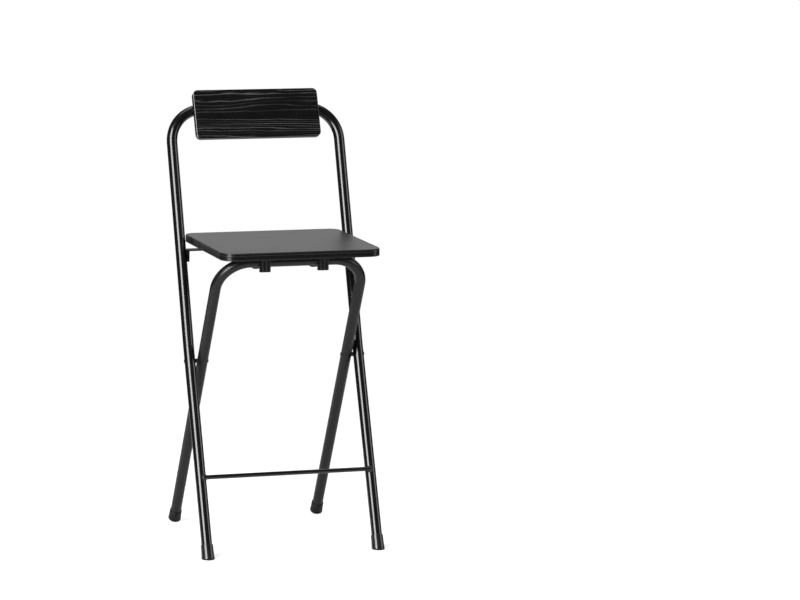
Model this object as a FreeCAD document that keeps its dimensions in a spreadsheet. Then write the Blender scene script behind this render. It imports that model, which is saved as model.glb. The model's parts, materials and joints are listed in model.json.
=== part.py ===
import FreeCAD, Part
import math
import os
import Sketcher

V = FreeCAD.Vector
Rot = FreeCAD.Rotation
Place = FreeCAD.Placement

doc = FreeCAD.newDocument("FoldingStool")
sheet = doc.addObject("Spreadsheet::Sheet", "Sizes")

# Driving sizes, in millimetres and degrees. X runs across the stool, Y to the rear, Z up.
driving = [
    ("seatHeight", "626"),        # floor to the top of the seat
    ("seatClear", "3.3"),         # between the seat and each back tube
    ("seatDepth", "316"),
    ("seatThick", "15.5"),        # board with its top sheet
    ("seatReach", "218"),         # front edge of the seat, ahead of the origin
    ("seatCornerFront", "28"),
    ("seatCornerRear", "22"),
    ("sheetThick", "1"),          # laminate on the seat and the backrest
    ("sheetInset", "1.2"),
    ("boardRound", "1.2"),        # rounding along the edges of both boards
    ("tubeDia", "22"),
    ("tubeWall", "1.2"),
    ("backWidth", "380.6"),       # over the tubes of the back frame
    ("backTilt", "19"),           # lean of the back frame from upright
    ("legKink", "2.5"),           # further lean of its lower legs
    ("kinkRadius", "300"),
    ("kinkRise", "24.5"),         # from the pivot up the leg to the kink
    ("backLength", "499"),        # from the kink to the middle of the top bar
    ("backBend", "68.7"),
    ("pivotHeight", "379"),
    ("pivotAhead", "13.5"),       # pivot ahead of the origin
    ("rearTilt", "29.9"),
    ("pivotGap", "4.5"),          # between the two frames' tubes where they cross
    ("rearLean", "0.36"),         # splay of the rear legs to the floor
    ("rearBend", "65.5"),
    ("rodDia", "9"),
    ("rodHeight", "158"),
    ("rodBite", "0.8"),           # depth of the rod's saddle on the leg
    ("rodEndRound", "2"),
    ("weldBead", "2.4"),          # radius of a bead
    ("weldLong", "9"),
    ("weldOut", "1.4"),           # middle of the bead ahead of the tube
    ("weldIn", "0.4"),            # middle of the bead inside the rod's edge
    ("boardWidth", "265.5"),      # backrest
    ("boardHeight", "103.2"),
    ("boardThick", "15"),
    ("boardBelow", "68.7"),       # lower edge of the backrest below the top bar's middle
    ("boardLean", "2.9"),         # lean of the backrest beyond the frame's
    ("boardCorner", "10"),
    ("boardScrewGap", "150"),     # between the two screws of the backrest
    ("rivetDia", "6"),
    ("rivetHeadDia", "10"),
    ("rivetHeadHigh", "1.3"),
    ("spacerDia", "9"),
    ("runningGap", "0.08"),       # radial play on a moving pin
    ("holeGap", "0.2"),           # radial play of a screw in metal or plastic
    ("sideGap", "0.2"),           # end play of a moving piece
    ("strapWidth", "24"),
    ("strapThick", "2.5"),
    ("strapDrop", "12.5"),        # seat underside down to the strap's top beside the frame
    ("strapRun", "34"),           # level run of the strap beside the frame
    ("strapBend", "1.5"),
    ("lugBelow", "12"),           # lug below its rivet
    ("lugCorner", "4"),
    ("hingeDrop", "25.5"),        # seat underside down to the hinge rivet
    ("washerThick", "0.8"),
    ("washerDia", "12"),
    ("hingeDia", "5"),
    ("hingeHeadDia", "9.5"),
    ("hingeHeadHigh", "1.5"),
    ("bulbDia", "7"),             # blind end of the hinge rivet inside the tube
    ("bulbLong", "4"),
    ("bulbTaper", "1"),
    ("screwDia", "4"),
    ("screwHeadDia", "8"),
    ("screwHeadHigh", "2.2"),
    ("screwDepth", "10.5"),       # bite of a screw in a board
    ("strapScrewInner", "35"),
    ("strapScrewOuter", "95"),
    ("clipMiddle", "60.5"),       # middle of each hook from the stool's middle
    ("clipWidth", "20.5"),
    ("clipDepth", "84"),
    ("clipRoof", "2.4"),          # plastic above the crossbar
    ("clipPlay", "0.4"),          # round the crossbar
    ("clipWall", "4.6"),          # plastic ahead of the crossbar
    ("clipBelow", "8.6"),         # hook below the crossbar
    ("clipLipAngle", "62"),       # mouth's front wall, below level
    ("clipHeelAngle", "46"),      # mouth's rear wall, below level
    ("clipRound", "1.5"),
    ("grooveCount", "5"),
    ("grooveWide", "1.6"),
    ("grooveDeep", "0.9"),
    ("groovePitch", "3.8"),
    ("clipScrewBack", "38.5"),    # screw behind the crossbar's middle
    ("clipBoreDepth", "3"),
    ("footWall", "1.5"),
    ("footPlay", "0.1"),
    ("footFloor", "3"),           # plastic under the tube's end
    ("footFlare", "0.8"),         # wider at the floor than at the rim
    ("footStraight", "11"),       # length below the rim that doesn't flare
    ("footRimRound", "0.6"),
    ("frontFootHigh", "29"),
    ("rearFootHigh", "25"),
    ("frontFootRound", "1.5"),
    ("rearFootRound", "3"),
]

# Sizes that follow from them.
derived = [
    ("tubeR", "=tubeDia / 2"),
    ("tubeBore", "=tubeDia / 2 - tubeWall"),
    ("backHalf", "=(backWidth - tubeDia) / 2"),
    ("seatWidth", "=backWidth - 2 * (tubeDia + seatClear)"),
    ("legTilt", "=backTilt + legKink"),
    ("seatUnder", "=seatHeight - seatThick"),
    ("barHeight", "=seatUnder - clipRoof - clipPlay - tubeR"),
    ("barAhead", "=pivotAhead + (barHeight - pivotHeight) * tan(rearTilt)"),
    ("rearRise", "=(barHeight - pivotHeight) / cos(rearTilt)"),
    ("rearFall", "=pivotHeight / cos(rearTilt)"),
    ("rearBendStart", "=rearRise - rearBend * (1 - sin(rearLean))"),
    ("rearPivotHalf", "=backHalf - tubeDia - pivotGap"),
    ("rearTopHalf", "=rearPivotHalf - rearBendStart * tan(rearLean)"),
    ("rearBarHalf", "=rearTopHalf - rearBend * cos(rearLean)"),
    ("rearEndGap", "=(footFloor + tubeR * sin(rearTilt)) / cos(rearTilt)"),
    ("rearEndHalf", "=rearPivotHalf + (rearFall - rearEndGap) * tan(rearLean)"),
    ("rearFloorHalf", "=rearPivotHalf + rearFall * tan(rearLean)"),
    ("rearFootY", "=pivotHeight * tan(rearTilt) - pivotAhead"),
    ("legFall", "=pivotHeight / cos(legTilt)"),
    ("legEndGap", "=(footFloor + tubeR * sin(legTilt)) / cos(legTilt)"),
    ("legEnd", "=kinkRise + legFall - legEndGap"),
    ("frontFootY", "=-pivotAhead - pivotHeight * tan(legTilt)"),
    ("kinkY", "=kinkRise * sin(legTilt) - pivotAhead"),
    ("kinkZ", "=pivotHeight + kinkRise * cos(legTilt)"),
    ("kinkRun", "=kinkRadius * tan(legKink / 2)"),
    ("barMiddleY", "=kinkY + backLength * sin(backTilt)"),
    ("barMiddleZ", "=kinkZ + backLength * cos(backTilt)"),
    ("hingeZ", "=seatUnder - hingeDrop"),
    ("hingeUp", "=(hingeZ - kinkZ) / cos(backTilt)"),
    ("hingeY", "=kinkY + hingeUp * sin(backTilt)"),
    ("rodOff", "=tubeR + rodDia / 2 - rodBite"),
    ("weldEndRound", "=weldBead * 0.6"),
    ("rodDown", "=(pivotHeight - rodHeight + rodOff * sin(legTilt)) / cos(legTilt)"),
    ("lugOut", "=backHalf - tubeR - washerThick - sideGap"),
    ("bulbSeat", "=backHalf - sqrt(tubeBore ^ 2 - bulbDia ^ 2 / 4)"),
    ("joggleLead", "=tan(22.5)"),
    ("clipFront", "=tubeR + clipPlay + clipWall"),
    ("clipBore", "=tubeR + clipPlay"),
    ("clipLow", "=tubeR + clipBelow"),
    ("clipHigh", "=tubeR + clipPlay + clipRoof"),
]


def fillSheet():
    for row, (alias, value) in enumerate(driving + derived, start=1):
        sheet.set("A%d" % row, alias)
        sheet.set("B%d" % row, value)
        sheet.setAlias("B%d" % row, alias)
    doc.recompute()


class Size:
    # a length or angle, with the expression that gives it from the sheet
    def __init__(self, text, value):
        self.text = text
        self.value = value

    def __add__(self, other):
        other = lift(other)
        return Size("(%s + %s)" % (self.text, other.text), self.value + other.value)

    def __sub__(self, other):
        other = lift(other)
        return Size("(%s - %s)" % (self.text, other.text), self.value - other.value)

    def __mul__(self, other):
        other = lift(other)
        return Size("(%s * %s)" % (self.text, other.text), self.value * other.value)

    def __truediv__(self, other):
        other = lift(other)
        return Size("(%s / %s)" % (self.text, other.text), self.value / other.value)

    def __neg__(self):
        return Size("(-1 * %s)" % self.text, -self.value)

    __radd__ = __add__
    __rmul__ = __mul__

    def __rsub__(self, other):
        return lift(other) - self


def lift(term):
    return term if isinstance(term, Size) else Size("%.6f" % term, float(term))


def sine(angle):
    return Size("sin(%s)" % angle.text, math.sin(math.radians(angle.value)))


def cosine(angle):
    return Size("cos(%s)" % angle.text, math.cos(math.radians(angle.value)))


class Names:
    # S.tubeDia is the cell named tubeDia
    def __getattr__(self, alias):
        value = sheet.get(alias)
        return Size("Sizes." + alias, float(getattr(value, "Value", value)))


fillSheet()
S = Names()
parts = []
ZERO = Size("0", 0.0)


def keep(obj, label):
    obj.Label = label
    parts.append(obj)


def bind(obj, prop, size):
    obj.setExpression(prop, lift(size).text)


def place(obj, x, y, z, tilt=ZERO):
    # puts an object at a point, turned about the X axis
    x, y, z, tilt = lift(x), lift(y), lift(z), lift(tilt)
    obj.Placement = Place(V(x.value, y.value, z.value), Rot(V(1, 0, 0), tilt.value))
    bind(obj, "Placement.Base.x", x)
    bind(obj, "Placement.Base.y", y)
    bind(obj, "Placement.Base.z", z)
    if tilt.value:
        bind(obj, "Placement.Rotation.Angle", tilt)


def newBody(name):
    return doc.addObject("PartDesign::Body", name)


def originPlane(body, role):
    return [plane for plane in body.Origin.OriginFeatures if plane.Role == role][0]


def newSketch(body, name, role, shift=None):
    # a sketch on one of the body's own planes, moved along its normal
    sketch = body.newObject("Sketcher::SketchObject", name)
    sketch.AttachmentSupport = [(originPlane(body, role), "")]
    sketch.MapMode = "FlatFace"
    if shift is not None:
        sketch.AttachmentOffset = Place(V(0, 0, shift.value), Rot())
        bind(sketch, "AttachmentOffset.Base.z", shift)
    return sketch


def pin(sketch, geo, end, x, y):
    # fixes a point of the sketch at two sizes
    for kind, size, axis in (("DistanceX", lift(x), -2), ("DistanceY", lift(y), -1)):
        if size.text == "0":
            sketch.addConstraint(Sketcher.Constraint("PointOnObject", geo, end, axis))
            continue
        index = sketch.addConstraint(Sketcher.Constraint(kind, -1, 1, geo, end, size.value))
        bind(sketch, "Constraints[%d]" % index, size)


def arcBetween(start, end, radius, turn):
    # arc under a half circle; turn is 1 with its middle on the left of the way, -1 on the right
    along = end - start
    side = V(-along.y, along.x, 0) / along.Length
    middle = (start + end) / 2 + side * turn * math.sqrt(max(radius ** 2 - along.Length ** 2 / 4, 0))
    first, last = (start, end) if turn > 0 else (end, start)
    angles = [math.atan2(point.y - middle.y, point.x - middle.x) for point in (first, last)]
    if angles[1] < angles[0]:
        angles[1] += 2 * math.pi
    return Part.ArcOfCircle(Part.Circle(middle, V(0, 0, 1), radius), angles[0], angles[1])


def trace(sketch, points, arcs=None, closed=True):
    # a chain of lines through pinned points; arcs maps a span to its radius and turn
    arcs = arcs or {}
    points = [(lift(x), lift(y)) for x, y in points]
    spans = len(points) if closed else len(points) - 1
    ends = []
    for span in range(spans):
        start, end = [V(x.value, y.value, 0) for x, y in (points[span], points[(span + 1) % len(points)])]
        if span in arcs:
            radius, turn = arcs[span]
            geo = sketch.addGeometry(arcBetween(start, end, radius.value, turn), False)
            ends.append((geo, 1, 2) if turn > 0 else (geo, 2, 1))
        else:
            geo = sketch.addGeometry(Part.LineSegment(start, end), False)
            ends.append((geo, 1, 2))
    for span in range(spans if closed else spans - 1):
        geo, first, last = ends[span]
        other, otherFirst, otherLast = ends[(span + 1) % spans]
        sketch.addConstraint(Sketcher.Constraint("Coincident", geo, last, other, otherFirst))
    for span, (geo, first, last) in enumerate(ends):
        pin(sketch, geo, first, *points[span])
        if span in arcs:
            index = sketch.addConstraint(Sketcher.Constraint("Radius", geo, arcs[span][0].value))
            bind(sketch, "Constraints[%d]" % index, arcs[span][0])
    if not closed:
        pin(sketch, ends[-1][0], ends[-1][2], *points[-1])


def circle(sketch, x, y, radius):
    radius = lift(radius)
    middle = V(lift(x).value, lift(y).value, 0)
    geo = sketch.addGeometry(Part.Circle(middle, V(0, 0, 1), radius.value), False)
    pin(sketch, geo, 3, x, y)
    index = sketch.addConstraint(Sketcher.Constraint("Radius", geo, radius.value))
    bind(sketch, "Constraints[%d]" % index, radius)


def roundedRect(sketch, left, right, low, high, lowCorner, highCorner):
    points = [(left + lowCorner, low), (right - lowCorner, low), (right, low + lowCorner),
              (right, high - highCorner), (right - highCorner, high), (left + highCorner, high),
              (left, high - highCorner), (left, low + lowCorner)]
    arcs = {1: (lowCorner, 1), 3: (highCorner, 1), 5: (highCorner, 1), 7: (lowCorner, 1)}
    trace(sketch, points, arcs)


def pad(body, name, sketch, length, symmetric=False):
    feature = body.newObject("PartDesign::Pad", name)
    feature.Profile = sketch
    feature.SideType = "Symmetric" if symmetric else "One side"
    bind(feature, "Length", length)
    doc.recompute()
    return feature


def pocket(body, name, sketch, length, symmetric=False, reverse=False):
    # cuts against the sketch's normal, or along it when reversed, and checks that it cut
    before = body.Shape.Volume
    feature = body.newObject("PartDesign::Pocket", name)
    feature.Profile = sketch
    feature.SideType = "Symmetric" if symmetric else "One side"
    feature.Reversed = reverse
    bind(feature, "Length", length)
    doc.recompute()
    if body.Shape.Volume > before - 1e-3:
        raise RuntimeError("the pocket %s cut nothing" % name)
    return feature


def revolve(body, name, sketch, axis):
    feature = body.newObject("PartDesign::Revolution", name)
    feature.Profile = sketch
    feature.ReferenceAxis = (sketch, [axis])
    feature.Angle = 360
    doc.recompute()
    return feature


def pipe(body, name, profile, path):
    feature = body.newObject("PartDesign::AdditivePipe", name)
    feature.Profile = profile
    feature.Spine = (path, ["Edge%d" % (edge + 1) for edge in range(path.GeometryCount)])
    doc.recompute()
    return feature


def mirror(body, name, features):
    feature = body.newObject("PartDesign::Mirrored", name)
    feature.Originals = features
    feature.MirrorPlane = (originPlane(body, "YZ_Plane"), [""])
    body.Tip = feature
    doc.recompute()
    return feature


def roundEdges(body, name, radius, wanted):
    # rounds the edges of the body that a test picks
    names = ["Edge%d" % (i + 1) for i, edge in enumerate(body.Shape.Edges) if wanted(edge)]
    tip = body.Tip
    feature = body.newObject("PartDesign::Fillet", name)
    feature.Base = (tip, names)
    bind(feature, "Radius", radius)
    doc.recompute()
    return feature


def opposite(obj, name):
    # the same piece on the other side of the stool
    other = doc.addObject("Part::Mirroring", name)
    other.Source = obj
    other.Normal = V(1, 0, 0)
    return other


def together(name, members):
    group = doc.addObject("Part::Compound", name)
    group.Links = members
    return group


def onBack(obj, x, ahead, up, turn=ZERO):
    # places an object by its distance ahead of the back frame's plane and up from the kink
    ahead, up = lift(ahead), lift(up)
    place(obj, x, S.kinkY - ahead * cosine(S.backTilt) + up * sine(S.backTilt),
          S.kinkZ + ahead * sine(S.backTilt) + up * cosine(S.backTilt), turn - S.backTilt)


def tubeRing(sketch, x, y):
    circle(sketch, x, y, S.tubeR)
    circle(sketch, x, y, S.tubeBore)


def makeBackFrame():
    body = newBody("BackFrame")
    onBack(body, 0, 0, 0)

    ring = newSketch(body, "HoopRing", "YZ_Plane")
    tubeRing(ring, 0, S.backLength)
    path = newSketch(body, "HoopPath", "XZ_Plane")
    trace(path, [(ZERO, S.backLength),
                 (S.backBend - S.backHalf, S.backLength),
                 (-S.backHalf, S.backLength - S.backBend),
                 (-S.backHalf, S.kinkRun)], {1: (S.backBend, 1)}, closed=False)
    hoop = pipe(body, "Hoop", ring, path)

    legRing = newSketch(body, "LegRing", "XY_Plane", S.kinkRun)
    tubeRing(legRing, -S.backHalf, 0)
    legPath = newSketch(body, "LegPath", "YZ_Plane", -S.backHalf)
    down, ahead = -cosine(S.legKink), -sine(S.legKink)
    trace(legPath, [(ZERO, S.kinkRun),
                    (ahead * S.kinkRun, down * S.kinkRun),
                    (ahead * S.legEnd, down * S.legEnd)], {0: (S.kinkRadius, -1)}, closed=False)
    leg = pipe(body, "Leg", legRing, legPath)
    mirror(body, "OtherHalf", [hoop, leg])

    pivot = newSketch(body, "PivotHole", "YZ_Plane")
    circle(pivot, ahead * S.kinkRise, down * S.kinkRise, S.rivetDia / 2)
    pocket(body, "PivotHoles", pivot, S.backWidth * 2, symmetric=True)
    # this one stops at the middle of each tube, so only the inner walls are drilled
    hinge = newSketch(body, "HingeHole", "YZ_Plane")
    circle(hinge, 0, S.hingeUp, S.hingeDia / 2)
    pocket(body, "HingeHoles", hinge, S.backHalf * 2, symmetric=True)
    screws = newSketch(body, "BoardScrewHole", "XZ_Plane")
    screws.AttachmentOffset = Place(V(0, S.backLength.value, 0), Rot(V(1, 0, 0), -S.boardLean.value))
    bind(screws, "AttachmentOffset.Base.y", S.backLength)
    bind(screws, "AttachmentOffset.Rotation.Angle", -S.boardLean)
    for side in (-1, 1):
        circle(screws, S.boardScrewGap * (side / 2), 0, S.screwDia / 2 + S.holeGap)
    pocket(body, "BoardScrewHoles", screws, S.tubeDia * 2, symmetric=True)
    keep(body, "back_frame")


def makeLegFrame():
    body = newBody("LegFrame")
    place(body, 0, -S.pivotAhead, S.pivotHeight, S.rearTilt)
    ring = newSketch(body, "HoopRing", "YZ_Plane")
    tubeRing(ring, 0, S.rearRise)
    path = newSketch(body, "HoopPath", "XZ_Plane")
    trace(path, [(ZERO, S.rearRise),
                 (-S.rearBarHalf, S.rearRise),
                 (-S.rearTopHalf, S.rearBendStart),
                 (-S.rearEndHalf, S.rearEndGap - S.rearFall)], {1: (S.rearBend, 1)}, closed=False)
    hoop = pipe(body, "Hoop", ring, path)
    mirror(body, "OtherHalf", [hoop])
    pivot = newSketch(body, "PivotHole", "YZ_Plane")
    circle(pivot, 0, 0, S.rivetDia / 2 + S.runningGap)
    pocket(body, "PivotHoles", pivot, S.backWidth * 2, symmetric=True)
    keep(body, "leg_frame")


def turned(name, points, arcs, upright=False):
    # a turned piece about its own X axis, or about Z when upright; points are along, out
    body = newBody(name)
    sketch = newSketch(body, name + "Profile", "XZ_Plane")
    if upright:
        points = [(out, along) for along, out in points]
        arcs = {span: (radius, -turn) for span, (radius, turn) in arcs.items()}
    trace(sketch, points, arcs)
    revolve(body, name + "Turned", sketch, "V_Axis" if upright else "H_Axis")
    return body


def domeRadius(radius, high):
    return (radius * radius + high * high) / (high * 2)


def makeRodAndWelds():
    # both are built square to the lower legs, which the rod crosses in front
    def onLegs(body):
        place(body, 0, -S.pivotAhead - S.rodDown * sine(S.legTilt) - S.rodOff * cosine(S.legTilt),
              S.rodHeight, -S.legTilt)

    radius, half, soft = S.rodDia / 2, S.backHalf, S.rodEndRound
    rod = turned("FootrestRod", [(-half, ZERO), (half, ZERO), (half, radius - soft), (half - soft, radius),
                                 (soft - half, radius), (-half, radius - soft)], {2: (soft, 1), 4: (soft, 1)})
    onLegs(rod)
    saddle = newSketch(rod, "Saddle", "XY_Plane")
    for side in (-1, 1):
        circle(saddle, half * side, S.rodOff, S.tubeR)
    pocket(rod, "Saddles", saddle, S.rodDia * 2, symmetric=True)
    keep(rod, "footrest_rod")

    beads = []
    for name, side in (("WeldAbove", 1), ("WeldBelow", -1)):
        bead = S.weldBead
        body = newBody(name)
        onLegs(body)
        profile = newSketch(body, name + "Profile", "YZ_Plane", -half)
        circle(profile, S.rodOff - S.tubeR - S.weldOut, (radius - S.weldIn) * side, bead)
        pad(body, name + "Bead", profile, S.weldLong)
        roundEdges(body, name + "Ends", S.weldEndRound, lambda edge: edge.BoundBox.XLength < 0.01)
        tube = newSketch(body, name + "Tube", "XY_Plane")
        circle(tube, -half, S.rodOff, S.tubeR)
        pocket(body, name + "OnTube", tube, S.rodDia * 3, symmetric=True)
        core = newSketch(body, name + "Rod", "YZ_Plane")
        circle(core, 0, 0, radius)
        pocket(body, name + "OnRod", core, S.backWidth * 2, symmetric=True)
        beads += [body, opposite(body, name + "Right")]
    keep(together("FootrestWelds", beads), "footrest_welds")


def makeBoard(name, label, plane, width, low, high, corners, thick, shift, onto):
    # a flat board or sheet with rounded corners
    body = newBody(name)
    onto(body)
    sketch = newSketch(body, name + "Outline", plane, shift)
    roundedRect(sketch, width / -2, width / 2, low, high, *corners)
    pad(body, name + "Pad", sketch, thick)
    keep(body, label)
    return body


def roundBoard(body, name, longest):
    # all edges that run along the board's outline are rounded
    def along(edge):
        return edge.BoundBox.DiagonalLength > 3 and abs(edge.BoundBox.DiagonalLength - longest) > 0.5
    roundEdges(body, name, S.boardRound, along)


def onBar(obj, x, ahead, up, turn=ZERO):
    # the same about the middle of the top bar, square to the backrest
    ahead, up, lean = lift(ahead), lift(up), S.backTilt + S.boardLean
    place(obj, x, S.barMiddleY - ahead * cosine(lean) + up * sine(lean),
          S.barMiddleZ + ahead * sine(lean) + up * cosine(lean), turn - lean)


def makeBackrest():
    thick = S.boardThick - S.sheetThick

    def onto(body):
        onBar(body, 0, S.tubeR, -S.boardBelow)

    board = makeBoard("BackrestBoard", "backrest_board", "XZ_Plane", S.boardWidth, ZERO, S.boardHeight,
                      (S.boardCorner, S.boardCorner), thick, None, onto)
    inset = S.sheetInset
    makeBoard("BackrestSheet", "backrest_sheet", "XZ_Plane", S.boardWidth - inset * 2, inset,
              S.boardHeight - inset, (S.boardCorner - inset, S.boardCorner - inset), S.sheetThick, thick, onto)
    roundBoard(board, "BackrestEdges", thick.value)
    holes = newSketch(board, "BackrestPilots", "XZ_Plane")
    for side in (-1, 1):
        circle(holes, S.boardScrewGap * (side / 2), S.boardBelow, S.screwDia / 2)
    pocket(board, "BackrestPilotHoles", holes, S.screwDepth, reverse=True)

    screw = makeScrew("BackrestScrew", S.tubeDia + S.screwDepth)
    onBar(screw, -S.boardScrewGap / 2, -S.tubeR, 0, lift(90))
    keep(together("BackrestScrews", [screw, opposite(screw, "BackrestScrewRight")]), "backrest_screws")


def makeScrew(name, length):
    # a pan head screw that points up, with the underside of its head at the origin
    radius, head, high = S.screwDia / 2, S.screwHeadDia / 2, S.screwHeadHigh
    return turned(name, [(-high, ZERO), (length, ZERO), (length - radius, radius), (ZERO, radius),
                         (ZERO, head)], {4: (domeRadius(head, high), 1)}, upright=True)


def makeSeat():
    thick = S.seatThick - S.sheetThick

    def onto(body):
        place(body, 0, -S.seatReach, S.seatUnder)

    board = makeBoard("SeatBoard", "seat_board", "XY_Plane", S.seatWidth, ZERO, S.seatDepth,
                      (S.seatCornerFront, S.seatCornerRear), thick, None, onto)
    inset = S.sheetInset
    makeBoard("SeatSheet", "seat_sheet", "XY_Plane", S.seatWidth - inset * 2, inset, S.seatDepth - inset,
              (S.seatCornerFront - inset, S.seatCornerRear - inset), S.sheetThick, thick, onto)
    roundBoard(board, "SeatEdges", thick.value)
    holes = newSketch(board, "SeatPilots", "XY_Plane")
    for side in (-1, 1):
        for out in (S.strapScrewInner, S.strapScrewOuter):
            circle(holes, out * side, S.hingeY + S.seatReach, S.screwDia / 2)
        circle(holes, S.clipMiddle * side, S.seatReach - S.barAhead + S.clipScrewBack, S.screwDia / 2)
    pocket(board, "SeatPilotHoles", holes, S.screwDepth, reverse=True)


def makeBracket():
    # a flat bar bent to a lug at each end, let down beside the frame and flat under the seat
    body = newBody("SeatBracket")
    place(body, 0, S.hingeY, S.seatUnder)
    middle = S.lugOut - S.strapThick / 2
    bend = S.strapBend + S.strapThick / 2
    lead = bend * S.joggleLead
    cut = lead * cosine(lift(45))
    low = -S.hingeDrop - S.lugBelow
    level = -S.strapDrop - S.strapThick / 2
    top = S.strapThick / -2
    corner = S.lugOut - S.strapRun
    half = [(middle, low), (middle, level - bend), (middle - bend, level), (corner + lead, level),
            (corner - cut, level + cut), (corner - S.strapDrop + cut, top - cut),
            (corner - S.strapDrop - lead, top)]
    path = newSketch(body, "BracketPath", "XZ_Plane")
    turns = {1: 1, 3: -1, 5: 1, 7: 1, 9: -1, 11: 1}
    trace(path, half + [(-x, z) for x, z in reversed(half)],
          {span: (bend, turn) for span, turn in turns.items()}, closed=False)
    section = newSketch(body, "BracketSection", "XY_Plane", low)
    edge = S.strapWidth / 2
    trace(section, [(S.lugOut - S.strapThick, -edge), (S.lugOut, -edge), (S.lugOut, edge),
                    (S.lugOut - S.strapThick, edge)])
    pipe(body, "BracketBar", section, path)
    bottom = body.Shape.BoundBox.ZMin + 0.01

    def lugEdge(rim):
        return rim.BoundBox.ZMax < bottom and rim.BoundBox.YLength < 0.01

    roundEdges(body, "LugCorners", S.lugCorner, lugEdge)
    hinge = newSketch(body, "BracketHinge", "YZ_Plane")
    circle(hinge, 0, -S.hingeDrop, S.hingeDia / 2 + S.runningGap)
    pocket(body, "BracketHingeHoles", hinge, S.seatWidth * 2, symmetric=True)
    holes = newSketch(body, "BracketScrews", "XY_Plane")
    for side in (-1, 1):
        for out in (S.strapScrewInner, S.strapScrewOuter):
            circle(holes, out * side, 0, S.screwDia / 2 + S.holeGap)
    pocket(body, "BracketScrewHoles", holes, S.strapThick * 2)
    keep(body, "seat_bracket")

    screws = []
    for name, out in (("BracketScrewInner", S.strapScrewInner), ("BracketScrewOuter", S.strapScrewOuter)):
        screw = makeScrew(name, S.strapThick + S.screwDepth)
        place(screw, -out, S.hingeY, S.seatUnder - S.strapThick)
        screws += [screw, opposite(screw, name + "Right")]
    keep(together("BracketScrewSet", screws), "bracket_screws")


def makeClips():
    # the hook's mouth follows the way the crossbar takes when the stool is folded
    body = newBody("SeatClip")
    place(body, -S.clipMiddle, -S.barAhead, S.barHeight)
    lip, heel, bore, low = S.clipLipAngle, S.clipHeelAngle, S.clipBore, S.clipLow
    tail = S.clipDepth - S.clipFront
    lipEnd = (low - bore * cosine(lip)) * cosine(lip) / sine(lip) - bore * sine(lip)
    heelEnd = (low + bore * cosine(heel)) * cosine(heel) / sine(heel) + bore * sine(heel)
    profile = newSketch(body, "ClipProfile", "YZ_Plane")
    trace(profile, [(-S.clipFront, -low), (lipEnd, -low),
                    (-bore * sine(lip), -bore * cosine(lip)),
                    (ZERO, bore),
                    (bore * sine(heel), bore * cosine(heel)),
                    (heelEnd, -low), (tail, -low), (tail, S.clipHigh), (-S.clipFront, S.clipHigh)],
          {2: (bore, -1), 3: (bore, -1)})
    pad(body, "ClipPad", profile, S.clipWidth, symmetric=True)
    roof = body.Shape.BoundBox.ZMax - 0.01

    def corner(edge):
        box = edge.BoundBox
        return box.YLength < 0.01 and box.ZLength < 0.01 and box.ZMax < roof and not inMouth(edge)

    def inMouth(edge):
        # the saddle's own seams lie at its radius round the crossbar
        point = edge.Vertexes[0].Point - body.Placement.Base
        return math.hypot(point.y, point.z) < bore.value + 0.1

    roundEdges(body, "ClipCorners", S.clipRound, corner)
    groove = newSketch(body, "ClipGroove", "XY_Plane")
    left = S.groovePitch * (S.grooveCount - 1) / -2 - S.grooveWide / 2
    trace(groove, [(left, -S.clipFront - S.grooveDeep), (left + S.grooveWide, -S.clipFront - S.grooveDeep),
                   (left + S.grooveWide, S.grooveDeep - S.clipFront), (left, S.grooveDeep - S.clipFront)])
    first = pocket(body, "ClipGrooveCut", groove, S.clipDepth * 2, symmetric=True)
    row = body.newObject("PartDesign::LinearPattern", "ClipGrooves")
    row.Originals = [first]
    row.Direction = (groove, ["H_Axis"])
    bind(row, "Length", S.groovePitch * (S.grooveCount - 1))
    bind(row, "Occurrences", S.grooveCount)
    body.Tip = row
    doc.recompute()
    hole = newSketch(body, "ClipScrewHole", "XY_Plane")
    circle(hole, 0, S.clipScrewBack, S.screwDia / 2 + S.holeGap)
    pocket(body, "ClipScrewThrough", hole, S.clipDepth * 2, symmetric=True)
    bored = newSketch(body, "ClipBore", "XY_Plane", S.clipBoreDepth - low)
    circle(bored, 0, S.clipScrewBack, S.screwHeadDia / 2 + S.holeGap)
    pocket(body, "ClipCounterbore", bored, S.clipBoreDepth * 2)
    keep(body, "seat_clip_left")
    keep(opposite(body, "SeatClipRight"), "seat_clip_right")

    screw = makeScrew("ClipScrew", S.clipHigh + low - S.clipBoreDepth + S.screwDepth)
    place(screw, -S.clipMiddle, S.clipScrewBack - S.barAhead, S.barHeight - low + S.clipBoreDepth)
    keep(together("ClipScrews", [screw, opposite(screw, "ClipScrewRight")]), "clip_screws")


def makePivots():
    # riveted crossing of the two frames, with a spacer between the tubes
    radius, head, high = S.rivetDia / 2, S.rivetHeadDia / 2, S.rivetHeadHigh
    long = S.backHalf - S.rearPivotHalf + S.tubeDia + S.sideGap
    dome = domeRadius(head, high)
    rivet = turned("PivotRivet", [(-high, ZERO), (long + high, ZERO), (long, head), (long, radius),
                                  (ZERO, radius), (ZERO, head)], {1: (dome, 1), 5: (dome, 1)})
    place(rivet, -S.backHalf - S.tubeR, -S.pivotAhead, S.pivotHeight)
    keep(together("PivotRivets", [rivet, opposite(rivet, "PivotRivetRight")]), "pivot_rivets")
    spacer = makeRing("PivotSpacer", S.rivetDia / 2, S.spacerDia / 2,
                      S.backHalf - S.rearPivotHalf - S.tubeDia - S.sideGap)
    place(spacer, S.tubeR - S.backHalf, -S.pivotAhead, S.pivotHeight)
    keep(together("PivotSpacers", [spacer, opposite(spacer, "PivotSpacerRight")]), "pivot_spacers")


def makeRing(name, inner, outer, thick):
    body = newBody(name)
    sketch = newSketch(body, name + "Profile", "YZ_Plane")
    circle(sketch, 0, 0, outer)
    circle(sketch, 0, 0, inner)
    pad(body, name + "Pad", sketch, thick)
    return body


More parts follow.
